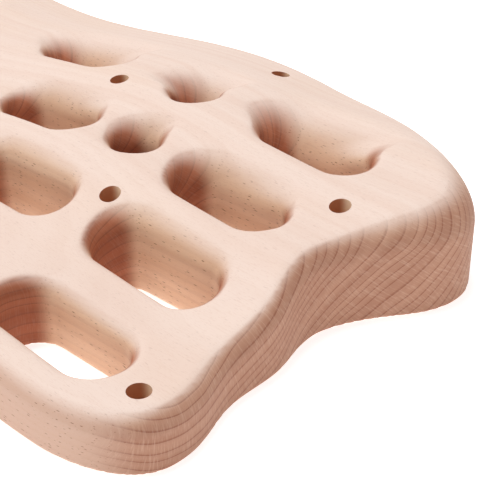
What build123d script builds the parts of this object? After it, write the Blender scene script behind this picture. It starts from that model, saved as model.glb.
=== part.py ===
"""Wooden climbing hangboard: one block of beech and the screws that hold it to a wall.

Frame: the origin is the middle of the flat back face, +X runs along the board to its
right end, +Y runs up the wall and +Z points out of the wall through the front face.
Left and right halves are mirror images. Millimetres.
"""

from build123d import *

import math
import os

# ---------------------------------------------------------------- driving dimensions
LENGTH = 654.0  # widest, across the two shoulders
HEIGHT = 262.0  # bottom edge to top edge

FOOT_THICKNESS = 26.0  # thin strip along the bottom edge
LOWER_RISE = 15.0  # climb of the face between the second and third rows
UPPER_RISE = 7.5  # climb of the face between the third and top rows
LOBE_RISE = 9.5  # crown of each lobe, left and right of the middle
SHOULDER_RISE = 5.0  # extra thickness at the two upper outer corners
CREST_FALL = 8.0  # how far the face drops again towards the top edge

EDGE_RADIUS = 9.0  # rounding of the outer front edge
BACK_EDGE_RADIUS = 2.0  # small rounding round the back face

SLOT_WIDTH = 26.0  # finger slots of the three upper rows, lip to top wall
SLOT_LENGTH = 60.0  # slots of the two upper rows
SECOND_SLOT_LENGTH = 67.0  # slots of the second row
FOOT_SLOT_LENGTH = 67.0  # slots of the lowest row
FOOT_SLOT_WIDTH = 28.0
MONO_DIAMETER = 23.0  # round one-finger holes
RIM_RADIUS = 7.0  # rounding of every finger hole's front rim

THREAD_DIAMETER = 5.0  # outside of the thread, drawn as a plain cylinder
THREAD_CLEARANCE = 0.3  # radial, thread to its hole in the board
NECK_DIAMETER = 3.7  # plain neck between head and thread
THREAD_START = 1.0  # behind the back face
HEAD_DIAMETER = 9.0
HEAD_HEIGHT = 3.2
HEAD_CLEARANCE = 0.35  # radial, screw head to its counterbore
COUNTERBORE_DEPTH = 12.0  # face to head seat, at the hole's axis
WALL_GRIP = 30.0  # length of screw behind the back face
TIP_LENGTH = 6.0
DRIVE_DIAMETER = 3.6  # six-sided drive recess, across corners
DRIVE_DEPTH = 1.8

# ---------------------------------------------------------------- derived places
HALF = LENGTH / 2
BOTTOM = -HEIGHT / 2 - 6.0
TOP = HEIGHT / 2 - 6.0
ALONG = HALF / 327.0  # the pattern of holes stretches with the board
UP = HEIGHT / 262.0
CLEAR_OVER = 20.0  # how far cutting tools reach past the faces
# Thicker than the finished board anywhere, before the front face is carved.
BLOCK_THICKNESS = FOOT_THICKNESS + LOWER_RISE + UPPER_RISE + LOBE_RISE + CLEAR_OVER

# Rows, counted from the bottom edge: height of the row's middle.
ROW_Y = [-104.5 * UP, -50.0 * UP, -2.5 * UP, 52.5 * UP]

# Slots as (distance from the board's middle, height, length, width). The innermost
# slot of the lowest row is lifted a little, as the bottom edge rises there.
SLOTS = [
    (249 * ALONG, ROW_Y[0], FOOT_SLOT_LENGTH, FOOT_SLOT_WIDTH),
    (157 * ALONG, ROW_Y[0], FOOT_SLOT_LENGTH, FOOT_SLOT_WIDTH),
    (65 * ALONG, ROW_Y[0] + 3 * UP, FOOT_SLOT_LENGTH, FOOT_SLOT_WIDTH),
    (243 * ALONG, ROW_Y[1], SECOND_SLOT_LENGTH, SLOT_WIDTH),
    (150 * ALONG, ROW_Y[1], SECOND_SLOT_LENGTH, SLOT_WIDTH),
    (62 * ALONG, ROW_Y[1], SECOND_SLOT_LENGTH, SLOT_WIDTH),
    (239.5 * ALONG, ROW_Y[2], SLOT_LENGTH, SLOT_WIDTH),
    (115 * ALONG, ROW_Y[2], SLOT_LENGTH, SLOT_WIDTH),
    (243 * ALONG, ROW_Y[3], SLOT_LENGTH, SLOT_WIDTH),
    (77 * ALONG, ROW_Y[3] + 2 * UP, SLOT_LENGTH, SLOT_WIDTH),
]
MONOS = [(175 * ALONG, ROW_Y[2] + 4 * UP), (166 * ALONG, ROW_Y[3] - 3 * UP)]

# Screw pairs: node name and place of the right-hand screw of the pair.
SCREW_PAIRS = {
    "foot_screws": (300 * ALONG, -109.5 * UP),
    "middle_screws": (200 * ALONG, -36.0 * UP),
    "shoulder_screws": (284.5 * ALONG, 21.0 * UP),
    "inner_screws": (127 * ALONG, 34.0 * UP),
    "crest_screws": (175 * ALONG, 104.0 * UP),
}


# ---------------------------------------------------------------- sculpted front face
def ease(value, start, end):
    """Smooth step from 0 at start to 1 at end."""
    t = min(max((value - start) / (end - start), 0.0), 1.0)
    return t * t * (3 - 2 * t)


def face_height(x, y):
    """Height of the front face above the back face."""
    climb = LOWER_RISE * ease(y, -75.0 * UP, -8.0 * UP)
    climb += UPPER_RISE * ease(y, -5.0 * UP, 45.0 * UP)
    from_lobe = min(abs(abs(x) - 150.0 * ALONG) / (150.0 * ALONG), 1.0)
    lobe = LOBE_RISE * 0.5 * (1 + math.cos(math.pi * from_lobe))
    outer = ease(abs(x), 200.0 * ALONG, 270.0 * ALONG)
    shoulder = SHOULDER_RISE * ease(y, 40.0 * UP, 85.0 * UP) * outer
    fall = CREST_FALL * ease(y, 68.0 * UP, 128.0 * UP)
    return FOOT_THICKNESS + climb + lobe + shoulder - fall


def above_face():
    """Solid that fills the space over the front face."""
    columns, rows = 49, 23
    reach_x, reach_y = HALF + CLEAR_OVER, HEIGHT / 2 + CLEAR_OVER
    grid = []
    for j in range(rows):
        y = -reach_y + 2 * reach_y * j / (rows - 1)
        row = []
        for i in range(columns):
            x = -reach_x + 2 * reach_x * i / (columns - 1)
            row.append((x, y, face_height(x, y)))
        grid.append(row)
    surface = Face.make_surface_from_array_of_points(grid, tol=0.1, min_deg=3, max_deg=5)
    return extrude(surface, amount=BLOCK_THICKNESS, dir=(0, 0, 1))


# ---------------------------------------------------------------- board
def outline():
    """Wavy outline: feet, waists, shoulders and a low crest, mirrored about X = 0."""
    right = [
        (0, BOTTOM + 6),
        (HALF - 197, BOTTOM + 2),
        (HALF - 75, BOTTOM),
        (HALF - 30, BOTTOM + 6),
        (HALF - 12.5, BOTTOM + 20),
        (HALF - 10, BOTTOM + 33),
        (HALF - 13.5, BOTTOM + 49),
        (HALF - 19, BOTTOM + 65),
        (HALF - 20.5, BOTTOM + 82),
        (HALF - 21.5, BOTTOM + 97),
        (HALF - 26.5, BOTTOM + 115),
        (HALF - 27.5, BOTTOM + 129),
        (HALF - 22.5, BOTTOM + 144),
        (HALF - 15, TOP - 105),
        (HALF - 5.5, TOP - 91),
        (HALF - 1, TOP - 79),
        (HALF - 0.5, TOP - 67),
        (HALF - 6.5, TOP - 53),
        (HALF - 20, TOP - 39),
        (HALF - 38, TOP - 27),
        (HALF - 65, TOP - 17),
        (HALF - 105, TOP - 7),
        (HALF - 147, TOP - 0.5),
        (HALF - 237, TOP + 1.5),
        (0, TOP - 0.5),
    ]
    left = [(-x, y) for x, y in reversed(right[1:-1])]
    return make_face(Spline(right + left, periodic=True))


def slot(x, y, length, width, tall):
    """Straight cutter with round ends, through the board at (x, y)."""
    sketch = Pos(x, y, -CLEAR_OVER) * SlotOverall(length, width)
    return extrude(sketch, amount=tall)


def screw_axis(pair, side):
    """Place of one screw of a pair; side is 1 for the right-hand one, -1 for the left."""
    x, y = SCREW_PAIRS[pair]
    return side * x, y


def seat_height(x, y):
    """Height of the counterbore's floor, where the screw head sits."""
    return face_height(x, y) - COUNTERBORE_DEPTH


def finger_hole_cutters():
    """Every finger hole as a cutter, both halves."""
    tall = CLEAR_OVER + BLOCK_THICKNESS
    cutters = []
    for side in (1, -1):
        for x, y, length, width in SLOTS:
            cutters.append(slot(side * x, y, length, width, tall))
        for x, y in MONOS:
            disc = Pos(side * x, y, -CLEAR_OVER) * Circle(MONO_DIAMETER / 2)
            cutters.append(extrude(disc, amount=tall))
    return cutters


def front_edges(solid):
    """Edges where the front face meets an upright wall."""
    picked = []
    for edge in solid.edges():
        box = edge.bounding_box()
        walks_level = box.max.Z - box.min.Z < 0.6 * edge.length
        if box.min.Z > FOOT_THICKNESS / 2 and walks_level:
            picked.append(edge)
    return picked


def cut_finger_hole(block, cutter):
    """Cut one finger hole and round its front rim."""
    block -= cutter
    hole = cutter.bounding_box()
    rim = []
    for edge in front_edges(block):
        box = edge.bounding_box()
        in_x = hole.min.X - 0.1 < box.min.X and box.max.X < hole.max.X + 0.1
        in_y = hole.min.Y - 0.1 < box.min.Y and box.max.Y < hole.max.Y + 0.1
        if in_x and in_y:
            rim.append(edge)
    return fillet(rim, RIM_RADIUS)


def make_board():
    """The beech block with its sculpted face, finger holes and screw holes."""
    block = extrude(outline(), amount=BLOCK_THICKNESS)
    block -= above_face()
    block = fillet(front_edges(block), EDGE_RADIUS)
    for cutter in finger_hole_cutters():
        block = cut_finger_hole(block, cutter)
    back = block.edges().filter_by(lambda e: e.bounding_box().max.Z < 0.01)
    block = fillet(back.sort_by(Edge.length)[-1:], BACK_EDGE_RADIUS)
    for pair in SCREW_PAIRS:
        for side in (1, -1):
            block -= screw_hole(*screw_axis(pair, side))
    return block


def screw_hole(x, y):
    """Counterbore and shank hole, straight through the board."""
    seat = seat_height(x, y)
    counterbore = Cylinder(
        HEAD_DIAMETER / 2 + HEAD_CLEARANCE,
        COUNTERBORE_DEPTH + CLEAR_OVER,
        align=(Align.CENTER, Align.CENTER, Align.MIN),
    )
    shank_hole = Cylinder(
        THREAD_DIAMETER / 2 + THREAD_CLEARANCE,
        seat + 2 * CLEAR_OVER,
        align=(Align.CENTER, Align.CENTER, Align.MIN),
    )
    return Pos(x, y, seat) * counterbore + Pos(x, y, -CLEAR_OVER) * shank_hole


# ---------------------------------------------------------------- screws
def make_screw(x, y):
    """Pan-head wood screw: seat under the head, thread and point behind the back face."""
    seat = seat_height(x, y)
    head_r, thread_r, neck_r = HEAD_DIAMETER / 2, THREAD_DIAMETER / 2, NECK_DIAMETER / 2
    point_z = -WALL_GRIP
    crown = HEAD_HEIGHT * 0.45  # upright side of the head, below its dome
    profile = Polyline(
        (0, point_z),
        (thread_r, point_z + TIP_LENGTH),
        (thread_r, -THREAD_START),
        (neck_r, -THREAD_START),
        (neck_r, seat),
        (head_r, seat),
        (head_r, seat + crown),
    )
    dome = ThreePointArc(
        (head_r, seat + crown),
        (head_r * 0.72, seat + HEAD_HEIGHT * 0.85),
        (0, seat + HEAD_HEIGHT),
    )
    axis_line = Line((0, seat + HEAD_HEIGHT), (0, point_z))
    section = make_face([*profile.edges(), *dome.edges(), *axis_line.edges()])
    body = revolve(Plane.XZ * section, Axis.Z)
    recess = Pos(0, 0, seat + HEAD_HEIGHT - DRIVE_DEPTH) * extrude(
        RegularPolygon(DRIVE_DIAMETER / 2, 6), amount=DRIVE_DEPTH + 1
    )
    return Pos(x, y, 0) * (body - recess)


# ---------------------------------------------------------------- write the sub-parts
os.makedirs("parts", exist_ok=True)

board = make_board()
board.label = "board"
export_step(board, "parts/board.step")

for pair in SCREW_PAIRS:
    screws = Compound(children=[make_screw(*screw_axis(pair, side)) for side in (1, -1)])
    screws.label = pair
    export_step(screws, f"parts/{pair}.step")
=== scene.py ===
"""Looks of the beech hangboard: a carved block with soft-rounded finger holes, and its wall screws.

Lengths are millimetres while the block is shaped, and metres in Blender. X runs along the
board, Y up the wall, Z out of the wall; the board lies on its back on the floor at z = 0.
"""

import math

import bpy
import numpy as np
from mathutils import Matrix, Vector


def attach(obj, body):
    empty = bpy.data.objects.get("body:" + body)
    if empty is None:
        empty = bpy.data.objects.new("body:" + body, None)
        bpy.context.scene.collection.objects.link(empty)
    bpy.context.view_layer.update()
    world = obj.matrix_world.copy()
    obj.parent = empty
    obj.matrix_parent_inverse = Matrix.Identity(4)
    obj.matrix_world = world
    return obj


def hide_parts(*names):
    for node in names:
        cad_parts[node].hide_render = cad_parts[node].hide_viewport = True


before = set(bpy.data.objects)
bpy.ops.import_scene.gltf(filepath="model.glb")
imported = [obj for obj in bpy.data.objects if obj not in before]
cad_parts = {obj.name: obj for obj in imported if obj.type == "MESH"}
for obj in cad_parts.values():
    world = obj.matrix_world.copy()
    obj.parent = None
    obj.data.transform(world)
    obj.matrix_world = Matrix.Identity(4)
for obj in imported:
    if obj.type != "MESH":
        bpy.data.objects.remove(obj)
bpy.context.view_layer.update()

MM = 0.001

# ---------------------------------------------------------------- the block's dimensions
HALF = 327.0
BOTTOM, TOP = -137.0, 125.0
FOOT, LOWER_RISE, UPPER_RISE = 26.0, 15.0, 7.5
LOBE, SHOULDER, CREST_FALL = 9.5, 5.0, 8.0
OUTLINE = [
    (0, BOTTOM + 6), (HALF - 197, BOTTOM + 2), (HALF - 75, BOTTOM), (HALF - 30, BOTTOM + 6),
    (HALF - 12.5, BOTTOM + 20), (HALF - 10, BOTTOM + 33), (HALF - 13.5, BOTTOM + 49),
    (HALF - 19, BOTTOM + 65), (HALF - 20.5, BOTTOM + 82), (HALF - 21.5, BOTTOM + 97),
    (HALF - 26.5, BOTTOM + 115), (HALF - 27.5, BOTTOM + 129), (HALF - 22.5, BOTTOM + 144),
    (HALF - 15, TOP - 105), (HALF - 5.5, TOP - 91), (HALF - 1, TOP - 79), (HALF - 0.5, TOP - 67),
    (HALF - 6.5, TOP - 53), (HALF - 20, TOP - 39), (HALF - 38, TOP - 27), (HALF - 65, TOP - 17),
    (HALF - 105, TOP - 7), (HALF - 147, TOP - 0.5), (HALF - 237, TOP + 1.5), (0, TOP - 0.5),
]
SLOT, LOWER_SLOT, MONO = (60.0, 26.0), (67.0, 26.0), (23.0, 23.0)
FOOT_SLOT = (67.0, 28.0)
ROWS = (-104.5, -50.0, -2.5, 52.5)
RIM_ROUND = ((7.5, 9.5), (7.5, 11.0), (7.5, 16.0), (7.5, 27.0))  # lower lip, upper side
# Finger holes of the right half: distance from the middle, height, (length, width).
FINGER_HOLES = [
    (249, ROWS[0], FOOT_SLOT), (157, ROWS[0], FOOT_SLOT), (65, ROWS[0] + 3, FOOT_SLOT),
    (243, ROWS[1], LOWER_SLOT), (150, ROWS[1], LOWER_SLOT), (62, ROWS[1], LOWER_SLOT),
    (239.5, ROWS[2], SLOT), (115, ROWS[2], SLOT), (175, ROWS[2] + 4, MONO),
    (243, ROWS[3], SLOT), (77, ROWS[3] + 2, SLOT), (166, ROWS[3] - 3, MONO),
]
SCREW_HOLES = [(300, -109.5), (200, -36), (284.5, 21), (127, 34), (175, 104)]
COUNTERBORE_R, COUNTERBORE_DEPTH, SHANK_HOLE_R = 4.85, 12.0, 2.8
SEAT_CONE = 0.6  # the seat falls this much towards the shank hole
EDGE_ROUND, BACK_ROUND = 9.5, 2.0
# The edge is softer round the upper outer corners, most of all at this place.
SOFT_CORNER_X, SOFT_CORNER_Y = 325.0, 90.0
SOFT_CORNER_REACH, SOFT_CORNER_EXTRA = 55.0, 14.0
RIM_TO_EDGE_BLEND = 1.5
GRID_STEP, GRID_LIFT = 2.0, 0.37  # the lift keeps the flat back between two grid levels


# ---------------------------------------------------------------- shape of the block
def ease(value, start, end):
    t = np.clip((value - start) / (end - start), 0.0, 1.0)
    return t * t * (3 - 2 * t)


def face_height(x, y):
    """Height of the sculpted front face above the back."""
    climb = LOWER_RISE * ease(y, -75.0, -8.0) + UPPER_RISE * ease(y, -5.0, 45.0)
    across = np.clip((np.abs(x) - 150.0) / 150.0, -1, 1)
    lobe = LOBE * 0.5 * (1 + np.cos(np.pi * across))
    shoulder = SHOULDER * ease(y, 40.0, 85.0) * ease(np.abs(x), 200.0, 270.0)
    return FOOT + climb + lobe + shoulder - CREST_FALL * ease(y, 68.0, 128.0)


def closed_curve(points, per_span):
    """Smooth closed curve through the points, as a dense polygon."""
    p = np.array(points, float)
    n = len(p)
    gap = np.linalg.norm(np.roll(p, -1, 0) - p, axis=1)
    before = np.roll(gap, 1)
    system = np.zeros((n, n))
    right = np.zeros((n, 2))
    for i in range(n):
        system[i, (i - 1) % n] += before[i]
        system[i, i] += 2 * (before[i] + gap[i])
        system[i, (i + 1) % n] += gap[i]
        ahead = (p[(i + 1) % n] - p[i]) / gap[i]
        behind = (p[i] - p[i - 1]) / before[i]
        right[i] = 6 * (ahead - behind)
    bend = np.linalg.solve(system, right)
    made = []
    for i in range(n):
        j = (i + 1) % n
        t = np.linspace(0, 1, per_span, endpoint=False)[:, None]
        cubic = ((1 - t) ** 3 - (1 - t)) * bend[i] + (t ** 3 - t) * bend[j]
        made.append((1 - t) * p[i] + t * p[j] + gap[i] ** 2 / 6 * cubic)
    return np.concatenate(made)


def outline_distance(xs, ys, polygon):
    """Distance to the outline on a grid, negative inside."""
    grid = np.stack(np.meshgrid(xs, ys, indexing="ij"), -1).reshape(-1, 2)
    start, end = polygon, np.roll(polygon, -1, 0)
    run = end - start
    length2 = (run ** 2).sum(1)
    nearest = np.full(len(grid), 1e9)
    inside = np.zeros(len(grid), bool)
    for a, b, r, l2 in zip(start, end, run, length2):
        off = grid - a
        t = np.clip((off @ r) / l2, 0, 1)
        gap = off - t[:, None] * r
        nearest = np.minimum(nearest, (gap ** 2).sum(1))
        if a[1] != b[1]:
            spans = (a[1] > grid[:, 1]) != (b[1] > grid[:, 1])
            cross = a[0] + (grid[:, 1] - a[1]) * r[0] / (b[1] - a[1])
            inside ^= spans & (grid[:, 0] < cross)
    distance = np.sqrt(nearest) * np.where(inside, -1, 1)
    return distance.reshape(len(xs), len(ys))


def rounded(a, b, radius):
    """Inside of both a and b, with their shared edge rounded."""
    u, v = a + radius, b + radius
    arc = np.hypot(np.maximum(u, 0), np.maximum(v, 0)) - radius
    return np.where((u > 0) & (v > 0), arc, np.maximum(a, b))


class Block:
    """The carved block as a distance field: negative inside the wood."""

    def __init__(self, step):
        self.step = step
        self.xs = np.arange(-HALF - 3 * step, HALF + 3.5 * step, step)
        self.ys = np.arange(BOTTOM - 4 * step, TOP + 5 * step, step)
        mirrored = [(-x, y) for x, y in OUTLINE[-2:0:-1]]
        polygon = closed_curve(OUTLINE + mirrored, 24)
        self.rim = outline_distance(self.xs, self.ys, polygon)

    def outside(self, x, y):
        """Distance to the outline at any place, read between grid points."""
        i = np.clip((x - self.xs[0]) / self.step, 0, len(self.xs) - 1.001)
        j = np.clip((y - self.ys[0]) / self.step, 0, len(self.ys) - 1.001)
        i0, j0 = i.astype(int), j.astype(int)
        u, v = i - i0, j - j0
        low = self.rim[i0, j0] * (1 - u) + self.rim[i0 + 1, j0] * u
        high = self.rim[i0, j0 + 1] * (1 - u) + self.rim[i0 + 1, j0 + 1] * u
        return low * (1 - v) + high * v

    def carved(self, x, y, over):
        """The face with its finger holes cut and their rims rounded."""
        made = over
        ax = np.abs(x)
        # each rim widens towards the hole's upper side and the end nearer the board's middle
        for hx, hy, (length, width) in FINGER_HOLES:
            along = np.maximum(np.abs(ax - hx) - (length - width) / 2, 0)
            inside = width / 2 - np.hypot(along, y - hy)
            near, far = RIM_ROUND[ROWS.index(min(ROWS, key=lambda row: abs(row - hy)))]
            outward = (ax - hx) / (length / 2)
            side = (y - hy) / (width / 2) - np.where(outward > 0, 1.0, 0.5) * outward
            rounding = near + (far - near) * ease(side, -0.3, 1.5)
            made = np.maximum(made, rounded(over, inside, rounding))
        return made

    def distance(self, x, y, z):
        over = z - face_height(x, y)
        away2 = (np.abs(x) - SOFT_CORNER_X) ** 2 + (y - SOFT_CORNER_Y) ** 2
        corner = np.exp(-away2 / SOFT_CORNER_REACH ** 2)
        carved = self.carved(x, y, over)
        shaped = rounded(over, self.outside(x, y), EDGE_ROUND + SOFT_CORNER_EXTRA * corner)
        both = soft_max(carved, shaped, RIM_TO_EDGE_BLEND)
        return rounded(-z, both, BACK_ROUND)


def soft_max(a, b, reach):
    """The larger of a and b, blended where they are within reach of each other."""
    h = np.clip(0.5 + 0.5 * (a - b) / reach, 0, 1)
    return b * (1 - h) + a * h + reach * 0.5 * h * (1 - h)


def skin(block, lift):
    """Vertices and quads of the block's surface, one vertex per grid cell it crosses."""
    step = block.step
    xs, ys = block.xs, block.ys
    zs = np.arange(-2.5 * step, FOOT + LOWER_RISE + UPPER_RISE + LOBE + 3 * step, step) + lift
    gx, gy, gz = np.meshgrid(xs, ys, zs, indexing="ij")
    field = block.distance(gx, gy, gz)
    solid = field < 0
    shape = tuple(n - 1 for n in solid.shape)
    total = np.zeros(shape + (3,))
    count = np.zeros(shape)
    corners = [(a, b, c) for a in (0, 1) for b in (0, 1) for c in (0, 1)]

    def corner_view(values, offset):
        return values[tuple(slice(o, o + n) for o, n in zip(offset, shape))]

    for low in corners:
        for axis in range(3):
            if low[axis]:
                continue
            high = tuple(1 if k == axis else low[k] for k in range(3))
            f0, f1 = corner_view(field, low), corner_view(field, high)
            crosses = (f0 < 0) != (f1 < 0)
            t = np.where(crosses, f0 / np.where(crosses, f0 - f1, 1), 0)
            for k in range(3):
                total[..., k] += np.where(crosses, low[k] + (t if k == axis else 0), 0)
            count += crosses
    used = count > 0
    index = np.full(shape, -1)
    index[used] = np.arange(used.sum())
    cell = np.stack(np.nonzero(used), -1)
    middle = total[used] / count[used][:, None]
    origin = np.array([xs[0], ys[0], zs[0]])
    points = origin + (cell + middle) * step
    quads = []
    for axis in range(3):
        b, c = (axis + 1) % 3, (axis + 2) % 3
        inner = tuple(slice(0, -1) if k == axis else slice(1, -1) for k in range(3))
        ahead = tuple(slice(1, None) if k == axis else slice(1, -1) for k in range(3))
        here, there = solid[inner], solid[ahead]
        for inside_first in (True, False):
            flips = (here & ~there) if inside_first else (~here & there)
            place = np.stack(np.nonzero(flips), -1)
            place[:, b] += 1
            place[:, c] += 1
            ring = []
            for db, dc in ((0, 0), (-1, 0), (-1, -1), (0, -1)):
                at = place.copy()
                at[:, b] += db
                at[:, c] += dc
                ring.append(index[tuple(at.T)])
            if not inside_first:
                ring.reverse()
            quads.append(np.stack(ring, -1))
    return points, np.concatenate(quads)


def slope(block, p, reach=0.4):
    """Outward direction of the distance field at points p."""
    made = np.zeros_like(p)
    for k in range(3):
        shift = np.zeros(3)
        shift[k] = reach
        made[:, k] = block.distance(*(p + shift).T) - block.distance(*(p - shift).T)
    return made / (2 * reach)


def settle(block, p, rounds):
    """Moves points onto the block's surface."""
    for _ in range(rounds):
        g = slope(block, p)
        p = p - g * (block.distance(*p.T) / np.maximum((g ** 2).sum(1), 0.2))[:, None]
    return p


def even_out(p, quads, share):
    """Moves each vertex towards the middle of its neighbours."""
    total, count = np.zeros_like(p), np.zeros(len(p))
    for a in range(4):
        b = (a + 1) % 4
        for here, there in ((quads[:, a], quads[:, b]), (quads[:, b], quads[:, a])):
            for k in range(3):
                total[:, k] += np.bincount(here, p[there, k], len(p))
            count += np.bincount(here, minlength=len(p))
    return p + share * (total / count[:, None] - p)


def mesh_object(name, points, faces):
    mesh = bpy.data.meshes.new(name)
    mesh.from_pydata([tuple(v) for v in points], [], [tuple(f) for f in faces])
    mesh.validate()
    made = bpy.data.objects.new(name, mesh)
    bpy.context.scene.collection.objects.link(made)
    return made


def turned(profile, x, y):
    """Points and faces of a closed solid turned about an upright axis at (x, y)."""
    around = 48
    points, faces = [], []
    for radius, z in profile:
        for k in range(around):
            a = 2 * math.pi * k / around
            points.append((x + radius * math.cos(a), y + radius * math.sin(a), z))
    rings = len(profile)
    for r in range(rings - 1):
        low, high = r * around, (r + 1) * around
        for k in range(around):
            m = (k + 1) % around
            faces.append((low + k, low + m, high + m, high + k))
    faces.append(tuple(range(around - 1, -1, -1)))
    faces.append(tuple((rings - 1) * around + k for k in range(around)))
    return points, faces


def screw_hole_drill():
    """All ten stepped screw holes as one cutting solid, past the block at both ends."""
    below, above = 6, 8
    points, faces = [], []
    for side in (1, -1):
        for x, y in SCREW_HOLES:
            height = float(face_height(x, y))
            seat = height - COUNTERBORE_DEPTH
            profile = [
                (SHANK_HOLE_R, -below), (SHANK_HOLE_R, seat - SEAT_CONE),
                (COUNTERBORE_R, seat), (COUNTERBORE_R, height + above),
            ]
            more, rings = turned(profile, side * x, y)
            faces += [tuple(i + len(points) for i in ring) for ring in rings]
            points += more
    return mesh_object("screw_hole_drill", np.array(points) * MM, faces)


def make_block():
    """The board's visible piece: shaped, rounded and drilled."""
    block = Block(GRID_STEP)
    points, quads = skin(block, GRID_LIFT)
    for _ in range(2):
        points = settle(block, even_out(points, quads, 0.5), 2)
    points = settle(block, points, 1)
    points[:, 2] = np.maximum(points[:, 2], 0.0)
    piece = mesh_object("hangboard", points * MM, quads)
    drill = screw_hole_drill()
    cut = piece.modifiers.new("screw holes", "BOOLEAN")
    cut.object, cut.operation, cut.solver = drill, "DIFFERENCE", "EXACT"
    bpy.context.view_layer.update()
    cut_mesh = bpy.data.meshes.new_from_object(
        piece.evaluated_get(bpy.context.evaluated_depsgraph_get())
    )
    piece.modifiers.clear()
    piece.data = cut_mesh
    bpy.data.objects.remove(drill)
    dress_normals(block, piece.data)
    return piece


def dress_normals(block, mesh):
    """Smooth shading that follows the shaped wood, and the drilled walls where there are any."""
    count = len(mesh.loops)
    corner = np.zeros(count, int)
    mesh.loops.foreach_get("vertex_index", corner)
    co = np.zeros(len(mesh.vertices) * 3)
    mesh.vertices.foreach_get("co", co)
    co = co.reshape(-1, 3) / MM
    faces = len(mesh.polygons)
    flat = np.zeros(faces * 3)
    mesh.polygons.foreach_get("normal", flat)
    starts, sizes = np.zeros(faces, int), np.zeros(faces, int)
    mesh.polygons.foreach_get("loop_start", starts)
    mesh.polygons.foreach_get("loop_total", sizes)
    of_face = np.repeat(np.arange(faces), sizes)
    order = np.concatenate([np.arange(s, s + n) for s, n in zip(starts, sizes)])
    face_of_loop = np.zeros(count, int)
    face_of_loop[order] = of_face
    flat = flat.reshape(-1, 3)[face_of_loop]
    p = co[corner]
    g = slope(block, co)
    g /= np.maximum(np.linalg.norm(g, axis=1), 1e-6)[:, None]
    made = g[corner]
    # drilled walls keep their own direction: near a screw hole, and turned off the shaped wood
    turned_off, reach = 0.75, COUNTERBORE_R + 5
    far = (made * flat).sum(1) < turned_off
    near_hole = np.zeros(count, bool)
    out = np.zeros((count, 3))
    for hx, hy in SCREW_HOLES:
        dx, dy = np.abs(p[:, 0]) - hx, p[:, 1] - hy
        away = np.hypot(dx, dy)
        hit = away < reach
        near_hole |= hit
        out[hit, 0] = -dx[hit] * np.sign(p[hit, 0]) / np.maximum(away[hit], 1e-3)
        out[hit, 1] = -dy[hit] / np.maximum(away[hit], 1e-3)
    wall = near_hole & far
    tilt = flat[:, 2][wall][:, None]
    level = np.sqrt(np.maximum(1 - tilt ** 2, 0))
    made[wall] = np.concatenate([out[wall][:, :2] * level, tilt], 1)
    mesh.polygons.foreach_set("use_smooth", np.ones(faces, bool))
    mesh.normals_split_custom_set(made.tolist())


# ---------------------------------------------------------------- materials
def feed(tree, node, sockets):
    """Gives a node's sockets their values or links."""
    for key, value in sockets.items():
        if isinstance(value, Sock):
            tree.links.new(value.socket, node.inputs[key])
        else:
            node.inputs[key].default_value = value


def new_node(tree, kind, settings, sockets, output=0):
    """Adds a node: its settings first, then its sockets' values or links."""
    made = tree.nodes.new(kind)
    for key, value in settings.items():
        setattr(made, key, value)
    feed(tree, made, sockets)
    return Sock(tree, made.outputs[output])


class Sock:
    """A shader output that takes part in sums, products and comparisons."""

    def __init__(self, tree, socket):
        self.tree, self.socket = tree, socket

    def _math(self, operation, *values):
        settings = {"operation": operation}
        return new_node(self.tree, "ShaderNodeMath", settings, dict(enumerate(values)))

    def __add__(self, other):
        return self._math("ADD", self, other)

    def __radd__(self, other):
        return self._math("ADD", other, self)

    def __sub__(self, other):
        return self._math("SUBTRACT", self, other)

    def __rsub__(self, other):
        return self._math("SUBTRACT", other, self)

    def __mul__(self, other):
        return self._math("MULTIPLY", self, other)

    def __rmul__(self, other):
        return self._math("MULTIPLY", other, self)

    def __truediv__(self, other):
        return self._math("DIVIDE", self, other)

    def __abs__(self):
        return self._math("ABSOLUTE", self)

    def sqrt(self):
        return self._math("SQRT", self)

    def fract(self):
        return self._math("FRACT", self)

    def above(self, limit):
        return self._math("GREATER_THAN", self, limit)

    def angle(self, other):
        return self._math("ARCTAN2", self, other)

    def step(self, low, high):
        """Smooth step from 0 at low to 1 at high."""
        settings = {"interpolation_type": "SMOOTHSTEP"}
        sockets = {"Value": self, "From Min": low, "From Max": high}
        return new_node(self.tree, "ShaderNodeMapRange", settings, sockets)


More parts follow.
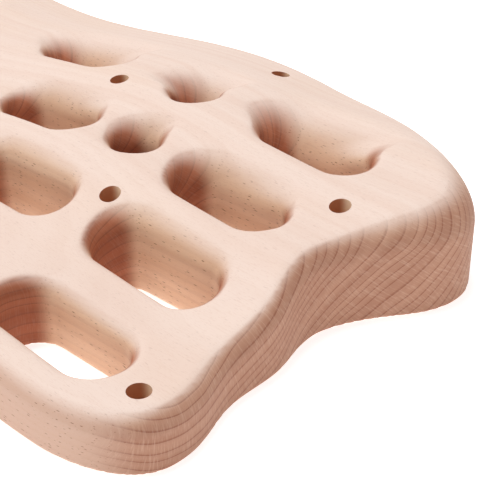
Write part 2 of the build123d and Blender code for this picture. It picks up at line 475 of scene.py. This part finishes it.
class Finish:
    """One material, built node by node."""

    def __init__(self, name):
        self.material = bpy.data.materials.new(name)
        self.material.use_nodes = True
        self.tree = self.material.node_tree
        self.shader = self.tree.nodes["Principled BSDF"]

    def node(self, kind, settings, sockets, output=0):
        return new_node(self.tree, kind, settings, sockets, output)

    def surface(self, sockets):
        """What the material shows: values and links of the shader's own sockets."""
        feed(self.tree, self.shader, sockets)
        return self.material

    def blend(self, share, first, second):
        """Colour between first and second; share is 0 for first."""
        first, second = (
            (*c, 1.0) if isinstance(c, tuple) and len(c) == 3 else c for c in (first, second)
        )
        settings = {"data_type": "RGBA", "clamp_factor": True}
        return self.node("ShaderNodeMix", settings, {0: share, 6: first, 7: second}, 2)

    def noise(self, place, scale, detail=2.0, roughness=0.5):
        sockets = {"Vector": place, "Scale": scale, "Detail": detail, "Roughness": roughness}
        return self.node("ShaderNodeTexNoise", {}, sockets)

    def cells(self, place, output="Distance"):
        """Scattered cells: distance to the nearest one's middle, or its own random colour."""
        sockets = {"Vector": place, "Scale": 1.0}
        return self.node("ShaderNodeTexVoronoi", {"feature": "F1"}, sockets, output)

    def vector(self, x, y, z):
        return self.node("ShaderNodeCombineXYZ", {}, {0: x, 1: y, 2: z})

    def place(self):
        """Coordinates on the object, in millimetres, and the surface's direction."""
        at, facing = (
            self.node("ShaderNodeTexCoord", {}, {}, output) for output in ("Object", "Normal")
        )
        return [a * (1 / MM) for a in self.parts(at)], self.parts(facing)

    def parts(self, vector):
        return [self.node("ShaderNodeSeparateXYZ", {}, {0: vector}, k) for k in range(3)]

    def bump(self, height, strength, distance):
        sockets = {"Height": height, "Strength": strength, "Distance": distance}
        return self.node("ShaderNodeBump", {}, sockets)


# The trunk's middle runs in front of the board's lower part, and the growth rings go round it.
PITH_Y, PITH_Z = -92.0, 134.0
RING_WIDTH = 3.9
RING_END = (0.965, 1.0)  # where one year's dark wood stops and the next year's pale wood starts
INNER_ENDS = (284.0, 291.0)  # beyond these the board's own ends begin
FRONT_WALL = (-126.0, -120.0)  # below these is the board's lower wall
BORE_EDGE = (4.95, 5.15)

# Colours of the face, of the walls along the grain (their side grain's own tan with painted shade
# and warm bounce light in it), and of the marks on both.
FACE_PALE, FACE_WARM = (0.875, 0.700, 0.610), (0.840, 0.645, 0.550)
FACE_CLOUD = (0.860, 0.660, 0.540)
WALL_SHADED_PALE, WALL_SHADED_WARM = (0.850, 0.590, 0.415), (0.770, 0.495, 0.325)
LOWER_WALL_SHADE = (0.62, 0.385, 0.280)
RING_TINT, GRAIN_TINT = (0.60, 0.36, 0.25), (0.66, 0.42, 0.30)
FLECK_DARK, DASH_DARK = (0.22, 0.080, 0.038), (0.55, 0.26, 0.17)
# Colours across the grain: the board's own ends, the finger holes' ends with painted shade in them,
# and their marks.
END_PALE, END_WARM = (0.530, 0.280, 0.185), (0.440, 0.212, 0.135)
HOLE_END_SHADE_PALE, HOLE_END_SHADE_DARK = (0.500, 0.170, 0.085), (0.340, 0.098, 0.044)
END_LATE, END_RING = (0.380, 0.150, 0.085), (0.260, 0.080, 0.042)
END_RAY, END_PORE = (0.78, 0.54, 0.41), (0.28, 0.11, 0.06)
# Painted light and shade inside the screw holes: a lit colour on the walls that face left, a shaded
# colour on the walls that face right.
BORE_PAINTED_LIGHT, BORE_PAINTED_SHADE = (1.0, 0.74, 0.52), (0.52, 0.190, 0.090)


def beech():
    """Pale steamed beech: growth rings, ray flecks along the grain, darker end grain, and painted
    light and shade in the holes and on the walls.
    """
    m = Finish("beech")
    (x, y, z), (nx, ny, nz) = m.place()
    # slow drift of the grain, long along the board
    drift_a = m.noise(m.vector(x * 0.004, y * 0.014, z * 0.014), 1.0, 2.0)
    drift_b = m.noise(m.vector(x * 0.012 + 31.0, y * 0.02, z * 0.02), 1.0, 2.0)
    yy = y - PITH_Y + (drift_a - 0.5) * 10.0
    zz = z - PITH_Z + (drift_b - 0.5) * 7.0
    radius = (yy * yy + zz * zz).sqrt()
    # uneven ring widths
    pace = m.noise(m.vector(radius * 0.045, 3.0, 7.0), 1.0, 2.0)
    ring = (radius / RING_WIDTH + pace * 3.2).fract()
    late = ring.step(0.35, 0.96) * (1 - ring.step(*RING_END))
    thin = ring.step(0.78, 0.93) * (1 - ring.step(*RING_END))
    tone = m.noise(m.vector(radius * 0.16, 11.0, x * 0.0015), 1.0, 3.0)
    cloud = m.noise(m.vector(x * 0.008, y * 0.03, z * 0.03), 1.0, 2.0)
    # how much of the cut is across the grain, and how much faces sideways
    end = abs(nx).step(0.22, 0.80)
    wall = 1 - abs(nz).step(0.40, 0.92)
    # 1 where the end grain is a finger hole's, painted darker and redder than the board's own ends
    # as the shade and warm bounce light inside the hole
    inner = 1 - abs(x).step(*INNER_ENDS)
    # 1 inside the screw holes
    bored = 0.0
    for hx, hy in SCREW_HOLES:
        dx, dy = abs(x) - hx, y - hy
        bored = (1 - (dx * dx + dy * dy).sqrt().step(*BORE_EDGE)) + bored
    # fine grain along the board
    fine = m.noise(m.vector(x * 0.09, y * 1.5, z * 1.5), 1.0, 3.0, 0.6)
    hair = m.noise(m.vector(x * 0.30, y * 4.0, z * 4.0), 1.0, 2.0, 0.6)
    # short dark flecks of ray tissue, drawn out along the board
    bend = (m.noise(m.vector(x * 0.05, y * 0.3, z * 0.3), 1.0, 2.0) - 0.5) * 3.0
    cell_at = m.vector(x * 0.20, y * 1.15 + bend, z * 1.15)
    cells, chance = m.cells(cell_at), m.cells(cell_at, "Color")
    lot = m.node("ShaderNodeSeparateColor", {}, {0: chance})
    size = 0.10 + lot * 0.22
    fleck = (1 - (cells / size).step(0.35, 1.0)) * lot.above(0.35)
    small_at = m.vector(x * 0.34, y * 2.4, z * 2.4)
    dash = 1 - m.cells(small_at).step(0.08, 0.34)
    # end grain: fine rays that run out from the pith, and pores between them
    turn = yy.angle(zz)
    rays = m.noise(m.vector(turn * 260.0, radius * 0.16, x * 0.05), 1.0, 2.0, 0.7)
    pores = m.noise(m.vector(x * 0.6, y * 2.6, z * 2.6), 1.0, 2.0, 0.7)
    # colours of the face and of the walls along the grain, the walls with painted shade in them
    face = m.blend(tone.step(0.35, 0.70), FACE_PALE, FACE_WARM)
    face = m.blend(cloud.step(0.45, 0.75) * 0.45, face, FACE_CLOUD)
    # the sideways walls get a darker, warmer colour: partly their own side grain, partly painted
    # shade and warm bounce light
    shaded_flank = m.blend(tone.step(0.35, 0.70), WALL_SHADED_PALE, WALL_SHADED_WARM)
    side = m.blend(wall * y.step(*FRONT_WALL), face, shaded_flank)
    # painted shade: the board's lower outer wall is darker than the walls above it
    side = m.blend(wall * (1 - y.step(*FRONT_WALL)) * 0.85, side, LOWER_WALL_SHADE)
    side = m.blend(late * (0.05 + 0.13 * wall), side, RING_TINT)
    side = m.blend(fine.step(0.48, 0.75) * (0.15 + 0.16 * wall), side, GRAIN_TINT)
    side = m.blend(fleck * (0.14 + 0.62 * wall), side, FLECK_DARK)
    side = m.blend(dash * (0.20 + 0.10 * wall), side, DASH_DARK)
    # colours across the grain, with painted shade at the finger holes' ends
    own = m.blend(tone.step(0.30, 0.70), END_PALE, END_WARM)
    # painted shade: the finger holes' end grain is darker and redder than the board's own ends
    shaded_hole_end = m.blend(tone.step(0.30, 0.70), HOLE_END_SHADE_PALE, HOLE_END_SHADE_DARK)
    across = m.blend(inner, own, shaded_hole_end)
    across = m.blend(late * 0.30, across, END_LATE)
    across = m.blend(thin * 0.62, across, END_RING)
    # the pale rays are dimmed at the finger holes' ends, as part of their painted shade
    across = m.blend(rays.step(0.46, 0.70) * (0.24 - inner * 0.16), across, END_RAY)
    across = m.blend(pores.step(0.55, 0.80) * 0.30, across, END_PORE)
    colour = m.blend(end, side, across)
    # painted light and shade: the screw holes' walls that face left are painted lit, those that
    # face right are painted in shade
    drilled = m.blend(nx.step(-0.1, 0.75), BORE_PAINTED_LIGHT, BORE_PAINTED_SHADE)
    colour = m.blend(bored * (1 - abs(nz).step(0.5, 0.9)), colour, drilled)
    height = fine * 0.5 + hair * 0.5 - fleck * 0.8 - late * 0.3
    return m.surface({
        "Base Color": colour,
        "Roughness": 0.52 + hair * 0.16 + end * 0.08,
        "Normal": m.bump(height, 0.22, 0.00015),
        "Specular IOR Level": 0.35,
    })


def zinc_steel():
    """Zinc-plated screw steel with fine turning marks."""
    m = Finish("zinc_steel")
    (x, y, z), _ = m.place()
    marks = m.noise(m.vector(x * 0.4, y * 0.4, z * 9.0), 1.0, 3.0, 0.6)
    cloud = m.noise(m.vector(x * 0.7, y * 0.7, z * 0.7), 1.0, 3.0, 0.5)
    return m.surface({
        "Base Color": m.blend(cloud, (0.60, 0.60, 0.61), (0.72, 0.71, 0.69)),
        "Metallic": 1.0,
        "Roughness": 0.30 + cloud * 0.18,
        "Normal": m.bump(marks, 0.2, 0.0001),
    })


WHITE = (1.0, 1.0, 1.0, 1.0)
FLOOR_GLOW, ROOM_LIGHT = 0.62, 0.44


def studio_floor():
    """White studio floor that stays white in soft shade."""
    m = Finish("studio_floor")
    return m.surface({
        "Base Color": (0.9, 0.9, 0.9, 1.0),
        "Roughness": 1.0,
        "Emission Color": WHITE,
        "Emission Strength": FLOOR_GLOW,
    })


# ---------------------------------------------------------------- camera, light and floor
CAMERA_AT = Vector((0.558, -0.3245, 0.2766))
CAMERA_PITCH, CAMERA_TURN = math.radians(30.0), math.radians(46.6)
LENS_LENGTH = 83.304


def look():
    """The camera, aimed by its pitch below level and its turn from the board's length."""
    ahead = Vector((
        -math.cos(CAMERA_TURN) * math.cos(CAMERA_PITCH),
        math.sin(CAMERA_TURN) * math.cos(CAMERA_PITCH),
        -math.sin(CAMERA_PITCH),
    ))
    lens = bpy.data.cameras.new("camera")
    lens.sensor_width = 36.0
    lens.lens = LENS_LENGTH
    lens.clip_start, lens.clip_end = 0.01, 20.0
    camera = bpy.data.objects.new("camera", lens)
    camera.location = CAMERA_AT
    camera.rotation_mode = "QUATERNION"
    camera.rotation_quaternion = ahead.to_track_quat("-Z", "Y")
    bpy.context.scene.collection.objects.link(camera)
    bpy.context.scene.camera = camera


def soft_light(name, place, aim, size, power):
    data = bpy.data.lights.new(name, "AREA")
    data.shape, data.size, data.energy = "DISK", size, power
    lamp = bpy.data.objects.new(name, data)
    lamp.location = place
    toward = Vector(aim) - Vector(place)
    lamp.rotation_mode = "QUATERNION"
    lamp.rotation_quaternion = toward.to_track_quat("-Z", "Y")
    bpy.context.scene.collection.objects.link(lamp)


def studio():
    scene = bpy.context.scene
    world = bpy.data.worlds.new("studio")
    world.use_nodes = True
    background = {"Color": WHITE, "Strength": ROOM_LIGHT}
    feed(world.node_tree, world.node_tree.nodes["Background"], background)
    scene.world = world
    scene.view_settings.view_transform = "Standard"
    reach = 6.0
    corners = [(-reach, -reach, 0), (reach, -reach, 0), (reach, reach, 0), (-reach, reach, 0)]
    floor = mesh_object("floor", corners, [(0, 1, 2, 3)])
    floor.data.materials.append(studio_floor())
    middle = (0.15, 0.0, 0.03)
    soft_light("key", (-0.6, -0.1, 3.4), middle, 1.8, 77.0)
    soft_light("fill", (-1.6, -1.6, 2.4), middle, 1.6, 9.0)


look()
board = make_block()
board.data.materials.clear()
board.data.materials.append(beech())
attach(board, "root")
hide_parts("board")

steel = zinc_steel()
for name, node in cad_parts.items():
    if name != "board":
        node.data.materials.clear()
        node.data.materials.append(steel)

studio()
